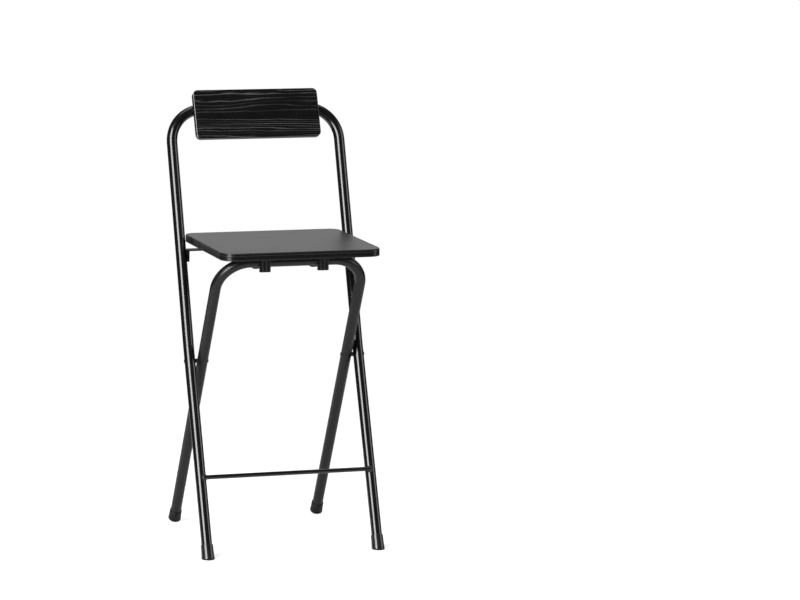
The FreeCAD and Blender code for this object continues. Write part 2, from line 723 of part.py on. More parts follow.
def makeHinges():
    # blind rivets of the seat: head inside the lug, set bulb inside the tube
    radius, head, high, bulb = S.hingeDia / 2, S.hingeHeadDia / 2, S.hingeHeadHigh, S.bulbDia / 2
    start = S.lugOut - S.strapThick - S.sideGap
    long = S.bulbSeat - start
    rivet = turned("HingeRivet", [(-long - S.bulbLong, ZERO), (high, ZERO), (ZERO, head), (ZERO, radius),
                                  (-long, radius), (-long, bulb), (-long - S.bulbLong, bulb - S.bulbTaper)],
                   {1: (domeRadius(head, high), 1)})
    place(rivet, -start, S.hingeY, S.hingeZ)
    keep(together("HingeRivets", [rivet, opposite(rivet, "HingeRivetRight")]), "hinge_rivets")
    washer = makeRing("HingeWasher", radius, S.washerDia / 2, S.washerThick)
    place(washer, S.tubeR - S.backHalf, S.hingeY, S.hingeZ)
    keep(together("HingeWashers", [washer, opposite(washer, "HingeWasherRight")]), "hinge_washers")


def makeFoot(name, label, x, y, tilt, lean, gap, high, rounding):
    # a sleeve pushed over the tube's end and cut level on the floor; lean is the leg's splay
    body = newBody(name)
    place(body, x, y, 0, tilt)
    rim = S.tubeR + S.footPlay + S.footWall
    under, soft, hole = S.tubeR * 2, S.footRimRound, S.tubeR + S.footPlay
    profile = newSketch(body, name + "Profile", "XZ_Plane")
    profile.AttachmentOffset = Place(V(0, 0, 0), Rot(V(0, 0, 1), -lean.value))
    if lean.value:
        bind(profile, "AttachmentOffset.Rotation.Angle", -lean)
    trace(profile, [(ZERO, -under), (rim + S.footFlare, -under), (rim + S.footFlare, ZERO),
                    (rim, high - S.footStraight), (rim, high - soft), (rim - soft, high), (hole, high),
                    (hole, gap), (ZERO, gap)], {4: (soft, 1)})
    revolve(body, name + "Turned", profile, "V_Axis")
    floor = newSketch(body, name + "Floor", "YZ_Plane")
    across, rise = S.tubeDia * 2 * cosine(tilt), S.tubeDia * -2 * sine(tilt)
    depth = S.tubeDia * 3
    trace(floor, [(-across, -depth), (across, -depth), (across, rise), (-across, -rise)])
    pocket(body, name + "FloorCut", floor, S.tubeDia * 3, symmetric=True)
    roundEdges(body, name + "Edge", rounding, lambda edge: edge.BoundBox.ZMax < 0.01)
    keep(body, label + "_left")
    keep(opposite(body, name + "Right"), label + "_right")


def exportParts():
    doc.recompute()
    for obj in doc.Objects:
        if "Invalid" in obj.State or "Error" in obj.State:
            raise RuntimeError("%s did not recompute" % obj.Name)
        if hasattr(obj, "Shape") and not obj.Shape.isNull() and not obj.Shape.isValid():
            raise RuntimeError("%s has a broken shape" % obj.Name)
    os.makedirs("parts", exist_ok=True)
    for obj in parts:
        if obj.Shape.isNull() or not obj.Shape.Solids:
            raise RuntimeError("%s has no solid" % obj.Label)
        obj.Shape.exportStep("parts/%s.step" % obj.Label)
        box = obj.Shape.BoundBox
        print("%-18s %2d solid %9.0f mm3  X %7.1f %7.1f  Y %7.1f %7.1f  Z %6.1f %6.1f" % (
            obj.Label, len(obj.Shape.Solids), obj.Shape.Volume,
            box.XMin, box.XMax, box.YMin, box.YMax, box.ZMin, box.ZMax))


makeBackFrame()
makeRodAndWelds()
makeBackrest()
makePivots()
makeHinges()
makeFoot("FrontFoot", "front_foot", -S.backHalf, S.frontFootY, -S.legTilt, ZERO, S.legEndGap,
         S.frontFootHigh, S.frontFootRound)
makeLegFrame()
makeFoot("RearFoot", "rear_foot", -S.rearFloorHalf, S.rearFootY, S.rearTilt, S.rearLean,
         S.rearEndGap / cosine(S.rearLean), S.rearFootHigh, S.rearFootRound)
makeSeat()
makeBracket()
makeClips()
exportParts()
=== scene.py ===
import bpy
import json
import math
from mathutils import Matrix, Vector


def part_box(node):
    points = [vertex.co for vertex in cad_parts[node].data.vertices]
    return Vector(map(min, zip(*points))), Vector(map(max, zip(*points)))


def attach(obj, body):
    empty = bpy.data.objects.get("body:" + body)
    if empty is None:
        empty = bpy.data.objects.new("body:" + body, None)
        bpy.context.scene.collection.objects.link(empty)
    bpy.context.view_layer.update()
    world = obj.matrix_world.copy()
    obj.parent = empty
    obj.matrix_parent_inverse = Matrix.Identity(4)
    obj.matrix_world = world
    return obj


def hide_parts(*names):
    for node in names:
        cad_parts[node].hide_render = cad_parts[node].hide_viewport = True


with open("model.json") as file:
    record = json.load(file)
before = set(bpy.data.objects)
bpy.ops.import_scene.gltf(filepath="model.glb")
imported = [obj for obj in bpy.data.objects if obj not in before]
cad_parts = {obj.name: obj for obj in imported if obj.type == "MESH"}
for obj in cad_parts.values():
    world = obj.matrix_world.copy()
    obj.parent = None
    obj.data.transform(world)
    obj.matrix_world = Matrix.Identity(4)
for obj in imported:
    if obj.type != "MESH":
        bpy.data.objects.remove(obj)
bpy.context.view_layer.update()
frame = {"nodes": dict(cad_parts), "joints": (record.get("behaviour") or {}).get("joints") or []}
nodes = frame["nodes"]
joints = {joint["name"]: joint for joint in frame["joints"]}
print("frame loaded:", len(nodes), "nodes")

# small helpers for node trees

def feed(tree, socket, value):
    # a socket takes a link or a plain value
    if isinstance(value, bpy.types.NodeSocket):
        tree.links.new(value, socket)
    else:
        socket.default_value = value


def setInputs(tree, node, inputs):
    for name, value in inputs.items():
        feed(tree, node.inputs[name], value)


def addNode(tree, kind, inputs=None, **settings):
    node = tree.nodes.new("ShaderNode" + kind)
    for name, value in settings.items():
        setattr(node, name, value)
    setInputs(tree, node, inputs or {})
    return node


def mathNode(tree, operation, *values, clamp=False):
    return addNode(tree, "Math", dict(enumerate(values)), operation=operation, use_clamp=clamp).outputs[0]


def plus(tree, first, second):
    return mathNode(tree, "ADD", first, second)


def minus(tree, first, second):
    return mathNode(tree, "SUBTRACT", first, second)


def times(tree, first, second):
    return mathNode(tree, "MULTIPLY", first, second)


def larger(tree, first, second):
    return mathNode(tree, "MAXIMUM", first, second)


def remap(tree, value, fromRange=(0.0, 1.0), toRange=(0.0, 1.0), smooth=False):
    inputs = {"Value": value, "From Min": fromRange[0], "From Max": fromRange[1], "To Min": toRange[0],
              "To Max": toRange[1]}
    way = "SMOOTHSTEP" if smooth else "LINEAR"
    return addNode(tree, "MapRange", inputs, interpolation_type=way).outputs[0]


def noise(tree, place, scale, detail, **more):
    inputs = {"Vector": place, "Scale": scale, "Detail": detail, **more}
    return addNode(tree, "TexNoise", inputs).outputs["Fac"]


def ramp(tree, factor, stops):
    # a stop is a position with a grey level or a colour
    node = addNode(tree, "ValToRGB", {"Fac": factor})
    elements = node.color_ramp.elements
    while len(elements) < len(stops):
        elements.new(0.5)
    for element, (position, shade) in zip(elements, stops):
        element.position = position
        colour = shade if isinstance(shade, tuple) else (shade, shade, shade)
        element.color = (*colour, 1)
    return node.outputs["Color"]


def mixColour(tree, factor, first, second):
    node = addNode(tree, "Mix", data_type="RGBA")
    for name, value in (("Factor", factor), ("A", first), ("B", second)):
        socket = [s for s in node.inputs if s.name == name and s.enabled][0]
        feed(tree, socket, (*value, 1) if isinstance(value, tuple) else value)
    return [s for s in node.outputs if s.enabled][0]


def splitPlace(tree, place):
    return addNode(tree, "SeparateXYZ", {"Vector": place}).outputs


def newGroup(name, inputs, outputs):
    # every socket is a number, apart from the place that comes in as Vector
    group = bpy.data.node_groups.new(name, "ShaderNodeTree")
    for label in inputs:
        kind = "Vector" if label == "Vector" else "Float"
        group.interface.new_socket(label, in_out="INPUT", socket_type="NodeSocket" + kind)
    for label in outputs:
        group.interface.new_socket(label, in_out="OUTPUT", socket_type="NodeSocketFloat")
    return group, group.nodes.new("NodeGroupInput").outputs, group.nodes.new("NodeGroupOutput").inputs


def useGroup(tree, group, inputs):
    return addNode(tree, "Group", inputs, node_tree=group).outputs


# shared effects: a pair is a noise's scale and detail, and a list holds a ramp's stops

enamelPattern = {"film": (9.0, 4.0), "peelDetail": 0.0, "specks": (900.0, 3.0),
                 "speckStops": [(0.68, 0.0), (0.76, 1.0)]}


def makeEnamelSkin():
    # the slight orange peel of stoved enamel, and the thin dust that lies on it
    group, given, put = newGroup("enamelSkin", ("Vector", "Peel Size", "Dust"), ("Height", "Film", "Dust"))
    place = given["Vector"]
    specks = ramp(group, noise(group, place, *enamelPattern["specks"]), enamelPattern["speckStops"])
    feed(group, put["Height"], noise(group, place, given["Peel Size"], enamelPattern["peelDetail"]))
    feed(group, put["Film"], noise(group, place, *enamelPattern["film"]))
    feed(group, put["Dust"], times(group, specks, given["Dust"]))
    return group


grainPattern = {
    "sway": (24.0, 2.5), "bands": (11.0, 1.0), "jitter": (160.0, 3.0), "jitterStrength": 0.55,
    "lineStops": [(0.0, 1.0), (0.06, 0.8), (0.15, 0.12), (0.26, 0.0)],     # outward from a line's middle
    "keptStops": [(0.10, 0.0), (0.24, 0.5), (0.9, 1.0)],     # some lines are weak or missing
    "patches": (46.0, 2.0), "patchStops": [(0.36, 0.15), (0.62, 1.0)],
    "poreStretch": (60.0, 1400.0, 60.0), "pores": (1.0, 1.0), "poreStops": [(0.56, 0.0), (0.68, 1.0)],
}


def makeWoodGrain():
    # long wavy grain lines with short pores between them; the grain runs along X, and 0.5 is the middle
    # of a noise and of a line
    inputs = ("Vector", "Pitch", "Waver", "Crowd", "Fan", "Middle", "Stretch", "Pores")
    group, given, put = newGroup("woodGrain", inputs, ("Lines", "Pores", "Height"))
    pattern = grainPattern
    spot = splitPlace(group, given["Vector"])
    along = times(group, spot["X"], given["Stretch"])
    flat = addNode(group, "CombineXYZ", {"X": along, "Y": spot["Y"]}).outputs[0]
    across = addNode(group, "CombineXYZ", {"Y": spot["Y"]}).outputs[0]
    crowd = times(group, noise(group, across, *pattern["bands"]), given["Crowd"])     # wide and narrow rings
    off = minus(group, spot["Y"], given["Middle"])
    fan = times(group, times(group, off, off), given["Fan"])     # closer on one side
    sway = times(group, minus(group, noise(group, flat, *pattern["sway"]), 0.5), given["Waver"])
    ragged = minus(group, noise(group, flat, *pattern["jitter"]), 0.5)
    jitter = times(group, ragged, pattern["jitterStrength"])
    count = times(group, spot["Y"], given["Pitch"])
    for shift in (crowd, fan, sway, jitter):
        count = plus(group, count, shift)
    peak = mathNode(group, "ABSOLUTE", minus(group, mathNode(group, "FRACT", count), 0.5))
    own = addNode(group, "TexWhiteNoise", {"W": mathNode(group, "FLOOR", count)}, noise_dimensions="1D")
    kept = ramp(group, own.outputs["Value"], pattern["keptStops"])
    patches = ramp(group, noise(group, flat, *pattern["patches"]), pattern["patchStops"])
    lines = times(group, ramp(group, peak, pattern["lineStops"]), times(group, patches, kept))
    dash = addNode(group, "Mapping", {"Vector": given["Vector"], "Scale": pattern["poreStretch"]}).outputs[0]
    dots = ramp(group, noise(group, dash, *pattern["pores"]), pattern["poreStops"])
    pores = times(group, dots, given["Pores"])
    feed(group, put["Lines"], lines)
    feed(group, put["Pores"], pores)
    feed(group, put["Height"], minus(group, lines, pores))
    return group


mouldPattern = {"gritDetail": 4.0, "gritRoughness": 0.7, "flow": (40.0, 3.0), "flowDistortion": 1.5}


def makeMouldSkin():
    # spark-eroded texture of a moulding, with faint flow marks
    group, given, put = newGroup("mouldSkin", ("Vector", "Grit"), ("Height", "Flow"))
    grit = noise(group, given["Vector"], given["Grit"], mouldPattern["gritDetail"],
                 Roughness=mouldPattern["gritRoughness"])
    flow = noise(group, given["Vector"], *mouldPattern["flow"], Distortion=mouldPattern["flowDistortion"])
    feed(group, put["Height"], grit)
    feed(group, put["Flow"], flow)
    return group


scratchPattern = {
    # a stroke is a turn in radians and a stretch
    "strokes": ((0.4, (900.0, 26.0, 900.0)), (1.9, (26.0, 800.0, 800.0)), (2.6, (700.0, 30.0, 30.0))),
    "sideTurn": 0.6, "streaks": (1.0, 0.0), "streakStops": [(0.70, 0.0), (0.76, 1.0)],
    "patches": (14.0, 2.0), "patchStops": [(0.45, 0.0), (0.65, 1.0)],
}


def makeFineScratches():
    # short hairline scratches in all directions, thinned out by patches
    group, given, put = newGroup("fineScratches", ("Vector", "Amount"), ("Mask",))
    pattern = scratchPattern
    marks = []
    for turn, stretch in pattern["strokes"]:
        turns = (turn, turn * pattern["sideTurn"], turn)
        laid = addNode(group, "Mapping", {"Vector": given["Vector"], "Rotation": turns, "Scale": stretch})
        marks.append(ramp(group, noise(group, laid.outputs[0], *pattern["streaks"]), pattern["streakStops"]))
    total = marks[0]
    for mark in marks[1:]:
        total = larger(group, total, mark)
    where = ramp(group, noise(group, given["Vector"], *pattern["patches"]), pattern["patchStops"])
    feed(group, put["Mask"], times(group, times(group, total, where), given["Amount"]))
    return group


enamelSkin = makeEnamelSkin()
woodGrain = makeWoodGrain()
mouldSkin = makeMouldSkin()
fineScratches = makeFineScratches()
usualNoise = (0.3, 0.7)     # a noise hardly leaves this range
print("effects ready")

# materials; heights are in metres

def emptyTree(owner):
    # the node tree of a material or a world, with nothing in it
    owner.use_nodes = True
    owner.node_tree.nodes.clear()
    return owner.node_tree


def newMaterial(name):
    material = bpy.data.materials.new(name)
    tree = emptyTree(material)
    shader = addNode(tree, "BsdfPrincipled")
    addNode(tree, "OutputMaterial", {"Surface": shader.outputs[0]})
    place = addNode(tree, "TexCoord").outputs["Object"]
    return material, tree, shader, place


def bump(tree, shader, height, strength, distance):
    node = addNode(tree, "Bump", {"Height": height, "Strength": strength, "Distance": distance})
    feed(tree, shader.inputs["Normal"], node.outputs[0])


def scratchMask(tree, place, look):
    return useGroup(tree, fineScratches, {"Vector": place, "Amount": look["scratches"]})["Mask"]


def enamel(name, look):
    material, tree, shader, place = newMaterial(name)
    skin = useGroup(tree, enamelSkin, {"Vector": place, "Peel Size": look["peelSize"], "Dust": look["dust"]})
    marks = scratchMask(tree, place, look)
    clean = mixColour(tree, skin["Film"], look["shade"], look["shadeLow"])
    dusty = mixColour(tree, skin["Dust"], clean, look["dustShade"])
    rough = remap(tree, skin["Film"], usualNoise, look["roughness"])
    setInputs(tree, shader, {
        "Base Color": mixColour(tree, marks, dusty, look["scratchShade"]),
        "Roughness": plus(tree, rough, times(tree, marks, look["scratchRoughness"])),
        "Specular IOR Level": look["specular"],
        "Coat Weight": look["coat"],
        "Coat Roughness": look["coatRoughness"],
    })
    bump(tree, shader, skin["Height"], look["peel"], look["peelHeight"])
    return material


backEnamelLook = {
    "shade": (0.0022, 0.0022, 0.0023), "shadeLow": (0.0034, 0.0033, 0.0034), "dustShade": (0.02, 0.02, 0.02),
    "scratchShade": (0.012, 0.012, 0.012), "scratchRoughness": 0.2, "roughness": (0.18, 0.22),
    "specular": 0.5, "coat": 0.6, "coatRoughness": 0.13,
    "peelSize": 120.0, "peel": 0.06, "peelHeight": 0.0001, "dust": 0.03, "scratches": 0.15,
}
legEnamelLook = dict(
    backEnamelLook, shade=(0.0060, 0.0060, 0.0062), shadeLow=(0.0080, 0.0079, 0.0080), specular=0.4,
    roughness=(0.26, 0.34), coat=0.05, coatRoughness=0.18, peel=0.14)
bracketEnamelLook = dict(
    legEnamelLook, shade=(0.0040, 0.0040, 0.0042), shadeLow=(0.0055, 0.0055, 0.0056),
    roughness=(0.36, 0.46), specular=0.05, coat=0.0)
rivetLook = dict(
    backEnamelLook, shade=(0.012, 0.012, 0.0122), shadeLow=(0.016, 0.016, 0.0162),
    roughness=(0.14, 0.20), coat=0.3)

backrestLean = 21.9     # degrees from upright


def ontoBoard(tree, place, look):
    # the grain's plane is turned onto the board
    turn = math.radians(look["turn"])
    return addNode(tree, "Mapping", {"Vector": place, "Rotation": (turn, 0, 0)}).outputs[0]


def grainAt(tree, place, look):
    inputs = ("Pitch", "Waver", "Crowd", "Fan", "Middle", "Stretch", "Pores")
    values = {label: look[label.lower()] for label in inputs}
    return useGroup(tree, woodGrain, {"Vector": place, **values})


def laminate(name, look):
    # printed and embossed grain film
    material, tree, shader, place = newMaterial(name)
    grain = grainAt(tree, ontoBoard(tree, place, look), look)
    ground = mixColour(tree, noise(tree, place, *look["cloud"]), look["shade"], look["shadeHigh"])
    lined = mixColour(tree, times(tree, grain["Lines"], look["lineStrength"]), ground, look["lineShade"])
    pored = mixColour(tree, times(tree, grain["Pores"], look["poreStrength"]), lined, look["poreShade"])
    setInputs(tree, shader, {
        "Base Color": mixColour(tree, scratchMask(tree, place, look), pored, look["scratchShade"]),
        "Roughness": remap(tree, grain["Lines"], toRange=look["roughness"]),
        "Specular IOR Level": look["specular"],
    })
    bump(tree, shader, grain["Height"], look["emboss"], look["embossHeight"])
    return material


backrestLook = {
    "turn": backrestLean - 90, "pitch": 142.0, "waver": 4.4, "crowd": 2.4, "fan": -520.0, "middle": 0.8525,
    "stretch": 0.17, "pores": 0.4, "poreStrength": 0.6, "cloud": (16.0, 4.0), "scratches": 0.2,
    "shade": (0.0030, 0.0030, 0.0032), "shadeHigh": (0.0050, 0.0050, 0.0052),
    "lineShade": (0.10, 0.10, 0.101), "lineStrength": 1.0, "poreShade": (0.002, 0.002, 0.002),
    "scratchShade": (0.03, 0.03, 0.03), "roughness": (0.26, 0.42), "specular": 0.2,
    "emboss": 0.35, "embossHeight": 0.0003,
}
seatTopLook = dict(
    backrestLook, turn=0.0, pitch=120.0, waver=3.0, crowd=5.0, fan=0.0, middle=0.0, stretch=0.12,
    pores=0.45, scratches=0.35, shade=(0.016, 0.016, 0.0165), shadeHigh=(0.022, 0.022, 0.0225),
    lineShade=(0.05, 0.05, 0.051), lineStrength=0.7, poreShade=(0.006, 0.006, 0.006),
    scratchShade=(0.06, 0.06, 0.06), roughness=(0.44, 0.51), specular=0.48, emboss=0.22)


def edgeBand(name, look):
    # embossed band round the board's edge; its grain runs along the edge on every side
    material, tree, shader, place = newMaterial(name)
    spot = splitPlace(tree, ontoBoard(tree, place, look))
    around = plus(tree, spot["X"], spot["Y"])
    grain = grainAt(tree, addNode(tree, "CombineXYZ", {"X": around, "Y": spot["Z"]}).outputs[0], look)
    body = mixColour(tree, grain["Lines"], look["shade"], look["lineShade"])
    pored = mixColour(tree, grain["Pores"], body, look["poreShade"])
    worn = mixColour(tree, scratchMask(tree, place, look), pored, look["scratchShade"])
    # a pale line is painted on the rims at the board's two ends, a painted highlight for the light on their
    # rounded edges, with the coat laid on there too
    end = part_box(look["board"])[1][0]
    out = mathNode(tree, "ABSOLUTE", splitPlace(tree, place)["X"])
    rising = remap(tree, out, [end - gap for gap in look["rimHighlightStart"]])
    falling = remap(tree, out, [end - gap for gap in look["rimHighlightStop"]], (1.0, 0.0))
    rimHighlight = times(tree, times(tree, rising, falling), look["rimHighlight"])
    setInputs(tree, shader, {
        "Base Color": mixColour(tree, rimHighlight, worn, look["rimHighlightShade"]),
        "Roughness": remap(tree, grain["Lines"], toRange=look["roughness"]),
        "Specular IOR Level": look["specular"],
        "Coat Weight": rimHighlight,
        "Coat Roughness": look["coatRoughness"],
    })
    bump(tree, shader, grain["Height"], look["emboss"], look["embossHeight"])
    return material


seatEdgeLook = {
    "board": "seat_board", "turn": 0.0, "pitch": 240.0, "waver": 1.6, "crowd": 1.0, "fan": 0.0,
    "middle": 0.0, "stretch": 0.05, "pores": 0.0, "scratches": 0.25,
    "shade": (0.0050, 0.0050, 0.0052), "lineShade": (0.022, 0.022, 0.0222),
    "poreShade": (0.002, 0.002, 0.002), "scratchShade": (0.04, 0.04, 0.04), "roughness": (0.26, 0.36),
    "specular": 0.5, "coatRoughness": 0.2, "emboss": 0.45, "embossHeight": 0.0006,
    # distances from the board's end between which the painted highlight line sets in and fades out
    "rimHighlightStart": (0.0032, 0.0016), "rimHighlightStop": (0.0005, 0.0001), "rimHighlight": 0.0,
    "rimHighlightShade": (0.2, 0.2, 0.202),
}
# the backrest's edge band gets the painted highlight line at its end rims; the seat's has none
backrestEdgeLook = dict(
    seatEdgeLook, board="backrest_board", turn=backrestLean - 90, roughness=(0.18, 0.24), specular=0.3,
    emboss=0.15, rimHighlight=0.9)


def moulded(name, look):
    # smooth black plastic, scuffed near the floor; its lowest millimetres get painted shade and a matt finish
    material, tree, shader, place = newMaterial(name)
    skin = useGroup(tree, mouldSkin, {"Vector": place, "Grit": look["grit"]})
    body = mixColour(tree, skin["Flow"], look["shade"], look["shadeHigh"])
    worn = mixColour(tree, scratchMask(tree, place, look), body, look["scratchShade"])
    height = splitPlace(tree, place)["Z"]
    near = remap(tree, height, (0.0, look["scuffHeight"]), (1.0, 0.0))
    scuff = times(tree, times(tree, near, noise(tree, place, *look["grime"])), look["scuff"])
    scuffed = mixColour(tree, scuff, worn, look["scuffShade"])
    # painted shade: the lowest few millimetres of the foot, where shade falls under it by the floor, are
    # painted near black, made matt and left without coat
    sole = remap(tree, height, (look["soleHigh"], look["soleHigh"] + look["soleEdge"]), (1.0, 0.0))
    rough = remap(tree, skin["Flow"], usualNoise, look["roughness"])
    setInputs(tree, shader, {
        "Base Color": mixColour(tree, sole, scuffed, look["paintedSoleShade"]),
        "Roughness": mathNode(tree, "ADD", rough, sole, clamp=True),
        "Specular IOR Level": look["specular"],
        "Coat Weight": remap(tree, sole, toRange=(look["coat"], 0.0)),
        "Coat Roughness": look["coatRoughness"],
    })
    bump(tree, shader, skin["Height"], look["texture"], look["textureHeight"])
    return material


frontFootLook = {
    "shade": (0.0065, 0.0065, 0.0067), "shadeHigh": (0.0090, 0.0090, 0.0092),
    "scratchShade": (0.03, 0.03, 0.03), "roughness": (0.22, 0.30), "specular": 0.5, "coat": 0.5,
    "coatRoughness": 0.12, "grit": 1200.0, "texture": 0.03, "textureHeight": 0.0001, "scratches": 0.3,
    "scuffHeight": 0.006, "scuff": 0.10, "scuffShade": (0.03, 0.029, 0.028), "grime": (180.0, 5.0),
    # the sole entries set the band of painted shade at the foot's bottom
    "soleHigh": 0.0026, "soleEdge": 0.0008, "paintedSoleShade": (0.001, 0.001, 0.001),
}
rearFootLook = dict(
    frontFootLook, shade=(0.0035, 0.0035, 0.0036), shadeHigh=(0.0050, 0.0050, 0.0051),
    roughness=(0.38, 0.48), specular=0.35, coat=0.0, texture=0.1, soleHigh=0.0038)
spacerLook = dict(rearFootLook, roughness=(0.20, 0.30), coat=0.5)


def ribbedMould(name, look):
    # moulded hook: fine upright ribs on its front face, painted lighter on their crests and darker between
    # them as painted highlight and shade, and painted shade on the sides and tail behind the front face
    material, tree, shader, place = newMaterial(name)
    skin = useGroup(tree, mouldSkin, {"Vector": place, "Grit": look["grit"]})
    spot = splitPlace(tree, place)
    wave = mathNode(tree, "SINE", times(tree, spot["X"], math.tau / look["ribPitch"]))
    rib = remap(tree, wave, look["ribEdge"], smooth=True)
    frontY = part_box("seat_clip_left")[0][1] + look["frontStart"]
    front = remap(tree, spot["Y"], (frontY, frontY + look["frontFade"]), (1.0, 0.0), smooth=True)
    # painted highlight and shade: the rib mask lightens the ribs' crests and darkens the grooves between them
    face = mixColour(tree, rib, look["shade"], look["shadeHigh"])
    mottled = mixColour(tree, times(tree, skin["Flow"], look["mottle"]), face, look["shade"])
    setInputs(tree, shader, {
        # painted shade: behind the front face the colour goes to the darker behind shade
        "Base Color": mixColour(tree, front, look["behind"], mottled),
        "Roughness": remap(tree, front, toRange=look["roughness"]),
        "Specular IOR Level": look["specular"],
    })
    raised = plus(tree, times(tree, rib, front), times(tree, skin["Height"], look["texture"]))
    bump(tree, shader, raised, look["emboss"], look["embossHeight"])
    return material


# shadeHigh is the painted highlight on the ribs' crests, and behind is the painted shade on the sides and
# tail
clipLook = {
    "shade": (0.010, 0.010, 0.0102), "shadeHigh": (0.050, 0.050, 0.0503), "behind": (0.006, 0.006, 0.0061),
    "ribPitch": 0.0076, "ribEdge": (-0.4, 0.6), "frontStart": 0.0017, "frontFade": 0.003, "mottle": 0.5,
    "grit": 1200.0, "texture": 0.08, "emboss": 0.5, "embossHeight": 0.0004, "specular": 0.2,
    "roughness": (0.7, 0.5),     # behind and on the front
}


def plated(name, look):
    # zinc plate with a slight rainbow passivation
    material, tree, shader, place = newMaterial(name)
    cloud = noise(tree, place, *look["cloud"])
    tint = ramp(tree, cloud, look["tintStops"])
    setInputs(tree, shader, {
        "Base Color": mixColour(tree, scratchMask(tree, place, look), tint, look["scratchShade"]),
        "Metallic": 1.0,
        "Roughness": remap(tree, cloud, toRange=look["roughness"]),
    })
    return material


zincLook = {
    "cloud": (220.0, 3.0), "roughness": (0.25, 0.42), "scratchShade": (0.7, 0.7, 0.7), "scratches": 0.4,
    "tintStops": [(0.35, (0.40, 0.42, 0.47)), (0.5, (0.45, 0.45, 0.46)), (0.65, (0.50, 0.47, 0.42))],
}


def weldEnamel(name, look):
    # the enamel that runs over the weld's ripples
    material, tree, shader, place = newMaterial(name)
    wave = addNode(tree, "TexWave", {"Vector": place, **look["wave"]}, wave_type="BANDS", bands_direction="X")
    ripples = wave.outputs["Fac"]
    setInputs(tree, shader, {
        "Base Color": mixColour(tree, ripples, look["shade"], look["shadeHigh"]),
        "Roughness": look["roughness"],
        "Coat Weight": look["coat"],
    })
    bump(tree, shader, ripples, look["ripple"], look["rippleHeight"])
    return material


weldLook = {
    "shade": (0.010, 0.010, 0.0105), "shadeHigh": (0.02, 0.02, 0.0205), "roughness": 0.16, "coat": 0.8,
    "ripple": 0.3, "rippleHeight": 0.0006,
    "wave": {"Scale": 200.0, "Distortion": 3.0, "Detail": 2.0, "Detail Scale": 3.0},
}

backEnamel = enamel("backEnamel", backEnamelLook)
legEnamel = enamel("legEnamel", legEnamelLook)
bracketEnamel = enamel("bracketEnamel", bracketEnamelLook)
rivetEnamel = enamel("rivetEnamel", rivetLook)
backrestGrain = laminate("backrestGrain", backrestLook)
seatGrain = laminate("seatGrain", seatTopLook)
seatEdge = edgeBand("seatEdge", seatEdgeLook)
backrestEdge = edgeBand("backrestEdge", backrestEdgeLook)
frontFootPlastic = moulded("frontFootPlastic", frontFootLook)
rearFootPlastic = moulded("rearFootPlastic", rearFootLook)
clipPlastic = ribbedMould("clipPlastic", clipLook)
spacerPlastic = moulded("spacerPlastic", spacerLook)
zincPlate = plated("zincPlate", zincLook)
weldSkin = weldEnamel("weldSkin", weldLook)
print("materials ready")

finishes = {
    "back_frame": backEnamel, "footrest_rod": backEnamel, "footrest_welds": weldSkin,
    "backrest_board": backrestEdge, "backrest_sheet": backrestGrain, "backrest_screws": zincPlate,
    "pivot_rivets": rivetEnamel, "pivot_spacers": spacerPlastic, "hinge_rivets": rivetEnamel,
    "hinge_washers": spacerPlastic, "front_foot_left": frontFootPlastic, "front_foot_right": frontFootPlastic,
    "leg_frame": legEnamel, "rear_foot_left": rearFootPlastic, "rear_foot_right": rearFootPlastic,
    "seat_board": seatEdge, "seat_sheet": seatGrain, "seat_bracket": bracketEnamel,
    "bracket_screws": zincPlate, "seat_clip_left": clipPlastic, "seat_clip_right": clipPlastic,
    "clip_screws": zincPlate,
}
for name, finish in finishes.items():
    mesh = nodes[name].data
    mesh.materials.clear()
    mesh.materials.append(finish)
print("finishes on", len(finishes), "nodes")

# small helpers for meshes

def circle(radius, z, count, shift=0.0):
    turns = [math.tau * (i - shift) / count for i in range(count)]
    return [(radius * math.cos(turn), radius * math.sin(turn), z) for turn in turns]


def quarterRound(x, y, radius, start, steps):
    # a quarter of a circle about (x, y), from the start angle in degrees onward
    turns = [math.radians(start + 90 * step / steps) for step in range(steps + 1)]
    return [(x + radius * math.cos(turn), y + radius * math.sin(turn)) for turn in turns]


def layAlong(axis, place, spin=0.0):
    # Z is turned onto the axis, and the origin goes to the place
    turn = Vector(axis).to_track_quat("Z", "Y").to_matrix().to_4x4()
    return Matrix.Translation(Vector(place)) @ turn @ Matrix.Rotation(spin, 4, "Z")


def addSkin(points, faces, rings, lay):
    # a skin through rings of as many points each, closed by a flat face at both ends
    first, count = len(points), len(rings[0])
    points += [lay @ Vector(point) for ring in rings for point in ring]
    last = len(points) - count
    for low in range(first, last, count):
        for i in range(count):
            j = (i + 1) % count
            faces.append((low + i, low + j, low + count + j, low + count + i))
    faces.append(tuple(first + i for i in reversed(range(count))))
    faces.append(tuple(last + i for i in range(count)))


def addMesh(name, points, faces, material):
    mesh = bpy.data.meshes.new(name)
    mesh.from_pydata(points, [], faces)
    mesh.materials.append(material)
    piece = bpy.data.objects.new(name, mesh)
    bpy.context.scene.collection.objects.link(piece)
    return piece


def smoothBelow(piece, degrees):
    piece.data.shade_smooth()
    piece.data.set_sharp_from_angle(angle=math.radians(degrees))


# rear feet, square to their tubes and standing on their front edge

rearLeg = {"tilt": 29.9, "splay": 0.36, "pivotX": 0.1528}     # degrees and metres
footSizes = {
    "radius": 0.0134, "rim": 0.0126, "bore": 0.0111, "high": 0.0310, "straight": 0.011,
    "soleRound": 0.0014, "rimRound": 0.0006, "floorThick": 0.0022,
    "hollow": 0.0010, "hollowRim": 0.0092, "tread": (0.0042, 0.0073), "treadHollow": 0.0002, "slope": 0.0005,
    "groove": (0.0034, 0.0022), "grooveDeep": 0.0003, "grooveSlope": 0.0004, "points": 64, "smooth": 35,
}     # metres, and the smooth angle in degrees


def rearLegLine(side):
    # where the middle line of the rear tube meets the floor, and its way up
    tilt, splay = math.radians(rearLeg["tilt"]), math.radians(rearLeg["splay"])
    upright = math.cos(splay)
    axis = Vector((-side * math.sin(splay), -upright * math.sin(tilt), upright * math.cos(tilt)))
    pivot = Vector((side * rearLeg["pivotX"], *joints["leg_fold"]["pos_m"][1:]))
    return pivot - axis * (pivot.z / axis.z), axis


